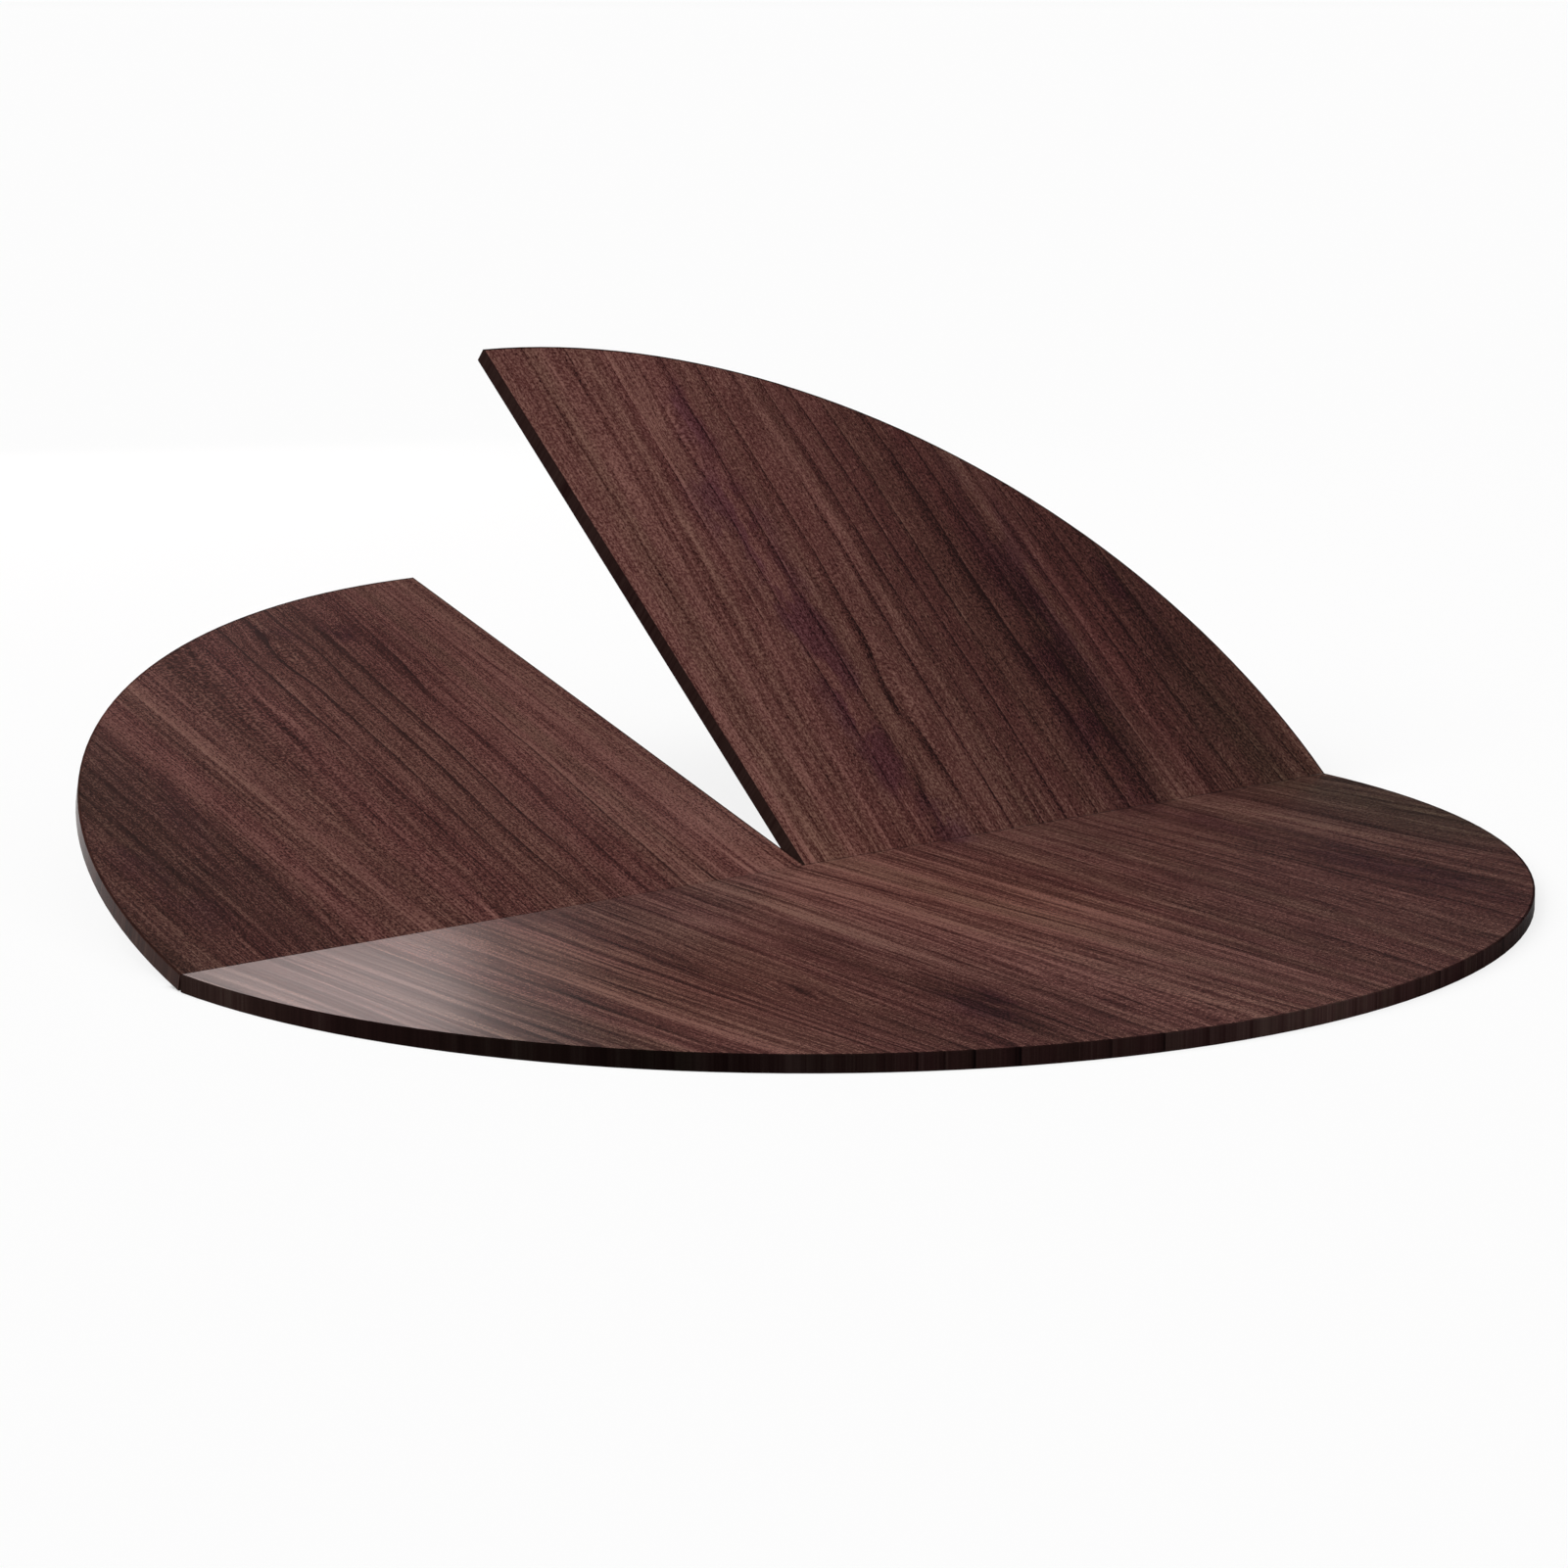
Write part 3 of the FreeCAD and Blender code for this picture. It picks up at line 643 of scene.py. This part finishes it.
def makeScrew():
    # the head's face is at the origin and the shank runs down -Z
    bpy.ops.object.select_all(action="DESELECT")
    bpy.ops.mesh.primitive_cone_add(
        vertices=screw["sides"], radius1=screw["shankRadius"], radius2=screw["headRadius"],
        depth=screw["headDepth"], location=(0.0, 0.0, -0.5 * screw["headDepth"]))
    piece = bpy.context.active_object
    bpy.ops.object.transform_apply(location=True, rotation=False, scale=False)
    bpy.ops.object.mode_set(mode="EDIT")
    pick(piece, "FACE", lambda middle: middle.z < -nearEnd * screw["headDepth"])
    straight = screw["length"] - screw["headDepth"] - screw["tip"]
    bpy.ops.mesh.extrude_region_move(TRANSFORM_OT_translate={"value": (0.0, 0.0, -straight)})
    bpy.ops.mesh.extrude_region_move(TRANSFORM_OT_translate={"value": (0.0, 0.0, -screw["tip"])})
    bpy.ops.transform.resize(value=(screw["tipShare"], screw["tipShare"], 1.0))
    pick(piece, "EDGE", lambda end: end.z > -nearZero)
    bpy.ops.mesh.bevel(offset=screw["softEdge"], segments=screw["softSteps"], affect="EDGES")
    bpy.ops.object.mode_set(mode="OBJECT")
    for bar in crossCutter():
        only(piece)
        cut = piece.modifiers.new("recess", "BOOLEAN")
        cut.operation = "DIFFERENCE"
        cut.solver = "EXACT"
        cut.object = bar
        bpy.ops.object.modifier_apply(modifier=cut.name)
        bpy.data.objects.remove(bar)
    bpy.ops.object.shade_smooth_by_angle(angle=math.radians(screw["smoothBelow"]))
    return piece


def setScrews(pattern, panel, body, signs):
    # two screws to each housing, driven into the fold edge
    inward = -1.0 if panel == "half" else 1.0
    about = Matrix.Translation(foldLine)
    raised = about @ Matrix.Rotation(panelRise[panel], 4, "X") @ about.inverted()
    stand = Matrix.Rotation(inward * math.pi / 2, 4, "X")
    places = [sign * hinge + side * screw["pitch"]
              for sign in signs for hinge in screw["hinges"] for side in (-0.5, 0.5)]
    copies = []
    for across in places:
        copy = pattern.copy()
        copy.data = pattern.data.copy()
        scene.collection.objects.link(copy)
        spin = Matrix.Rotation(screw["spin"] * across, 4, "Z")
        shift = Matrix.Translation((across, foldLine.y + inward * screw["halfGap"], screw["height"]))
        copy.matrix_world = raised @ shift @ stand @ spin
        copies.append(copy)
    bpy.ops.object.select_all(action="DESELECT")
    for copy in copies:
        copy.select_set(True)
    bpy.context.view_layer.objects.active = copies[0]
    bpy.ops.object.transform_apply(location=True, rotation=True, scale=True)
    bpy.ops.object.join()
    piece = bpy.context.active_object
    piece.name = panel + "_recessed_screws"
    piece.data.materials.clear()
    piece.data.materials.append(zinc)
    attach(piece, body)
    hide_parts(panel + "_screws")


patternScrew = makeScrew()
setScrews(patternScrew, "half", "half_panel", (-1.0, 1.0))
setScrews(patternScrew, "left_leaf", "left_leaf", (-1.0,))
setScrews(patternScrew, "right_leaf", "right_leaf", (1.0,))
bpy.data.objects.remove(patternScrew)
print("screws modelled")


floorLook = {
    "size": 160.0, "drop": 0.0004, "colour": (0.94, 0.94, 0.94, 1.0), "roughness": 0.9,
    "glow": 0.80, "mirrorGlow": 0.20,
    # half the width and half the length of the strip without a glow, and where the glow is whole again
    "stripWide": (0.012, 0.030), "stripLong": (0.590, 0.605),
}


def layFloor():
    bpy.ops.object.select_all(action="DESELECT")
    bpy.ops.mesh.primitive_plane_add(size=floorLook["size"], location=(0.0, 0.0, -floorLook["drop"]))
    floor = bpy.context.active_object
    floor.name = "floor"
    material, wire, shader = newFinish("paleFloor")
    fit(shader, {"Base Color": floorLook["colour"], "Roughness": floorLook["roughness"],
                 "Specular IOR Level": 0.0})
    camera = wire.node("LightPath", out="Is Camera Ray")
    rays = camera.socket.node.outputs
    glossy = Wire(wire.tree, rays["Is Glossy Ray"])
    mirrored = wire.maths("MAXIMUM", glossy, Wire(wire.tree, rays["Is Transmission Ray"]))
    # no glow on the strip below the fold, which stays in shadow
    here = wire.here()
    beside = wire.maths("ABSOLUTE", here.axis(1) - foldLine.y).between(*floorLook["stripWide"])
    beyond = wire.maths("ABSOLUTE", here.axis(0)).between(*floorLook["stripLong"])
    clear = wire.maths("MAXIMUM", beside, beyond)
    seen = (camera * floorLook["glow"] + mirrored * floorLook["mirrorGlow"]) * clear
    glow = wire.node("Emission", None, {"Color": white, "Strength": 1.0})
    lit = Wire(wire.tree, shader.outputs[0])
    surface = wire.node("MixShader", None, {0: seen, 1: lit, 2: glow})
    fit(wire.tree.nodes["Material Output"], {"Surface": surface})
    floor.data.materials.append(material)


studio = {
    "keyFrom": (-0.68, 0.10, 0.73), "keyPower": 2.9, "keySpread": 56.0,
    "fillFrom": (-0.30, -0.60, 0.74), "fillPower": 1.0, "fillSpread": 80.0,
    # the world's grey from straight down at 0 to straight up at 1
    "sky": [(0.0, 0.9), (0.504, 0.9), (0.52, 0.025), (1.0, 0.025)],
    "tip": (-0.45, 0.2, 0.0), "softboxTurn": 28.0, "softboxAway": 3.0,
    "softboxHigh": 0.85, "softboxTall": 1.3, "softboxTint": (1.0, 0.85, 0.83),
    # each softbox's left and right edge, how far it stands behind the first, and its brightness
    "softboxes": [(-1.30, -0.13, 0.0, 1.02), (-1.32, 0.03, 0.06, 0.13)],
}


def aimed(source):
    return Vector(source).normalized().to_track_quat("Z", "Y").to_euler()


def lightWorld():
    world = bpy.data.worlds.new("studio")
    world.use_nodes = True
    scene.world = world
    rise = Wire(world.node_tree).node("TexCoord", out="Generated").axis(2)
    sky = (rise * 0.5 + 0.5).ramp(greys(studio["sky"]), "EASE")
    fit(world.node_tree.nodes["Background"], {"Color": sky})


def hangLamps():
    for name in ("key", "fill"):
        bpy.ops.object.light_add(type="SUN", rotation=aimed(studio[name + "From"]))
        lamp = bpy.context.active_object
        lamp.name = name + "Light"
        lamp.data.energy = studio[name + "Power"]
        lamp.data.angle = math.radians(studio[name + "Spread"])
        lamp.visible_glossy = name != "key"


def standSoftboxes():
    # two low behind the top, for the gloss on its left tip
    turn = math.radians(studio["softboxTurn"])
    ahead = Vector((math.sin(turn), math.cos(turn), 0.0))
    aside = Vector((math.cos(turn), -math.sin(turn), 0.0))
    tall = studio["softboxTall"]
    for left, right, behind, glow in studio["softboxes"]:
        place = Vector(studio["tip"]) + ahead * (studio["softboxAway"] + behind)
        place += aside * (0.5 * (left + right) - aside.dot(place))
        place.z = studio["softboxHigh"]
        bpy.ops.object.light_add(type="AREA", location=place, rotation=aimed(ahead))
        softbox = bpy.context.active_object
        softbox.name = "softbox"
        softbox.data.shape = "RECTANGLE"
        softbox.data.size = right - left
        softbox.data.size_y = tall
        softbox.data.energy = math.pi * (right - left) * tall * glow
        softbox.data.color = studio["softboxTint"]
        softbox.visible_camera = False


view = {
    "turn": 38.05, "rise": 12.0, "away": 4.34, "target": (0.186, 0.5644, 0.014),
    "lens": 111.36, "sensor": 36.0, "farthest": 400.0,
}


def setCamera():
    turn = math.radians(view["turn"])
    rise = math.radians(view["rise"])
    back = Vector((-math.sin(turn) * math.cos(rise), -math.cos(turn) * math.cos(rise), math.sin(rise)))
    bpy.ops.object.camera_add(location=Vector(view["target"]) + back * view["away"], rotation=aimed(back))
    camera = bpy.context.active_object
    camera.name = "camera"
    camera.data.lens = view["lens"]
    camera.data.sensor_width = view["sensor"]
    camera.data.clip_end = view["farthest"]
    scene.camera = camera


layFloor()
lightWorld()
hangLamps()
standSoftboxes()
setCamera()
print("stage, lights and camera set")
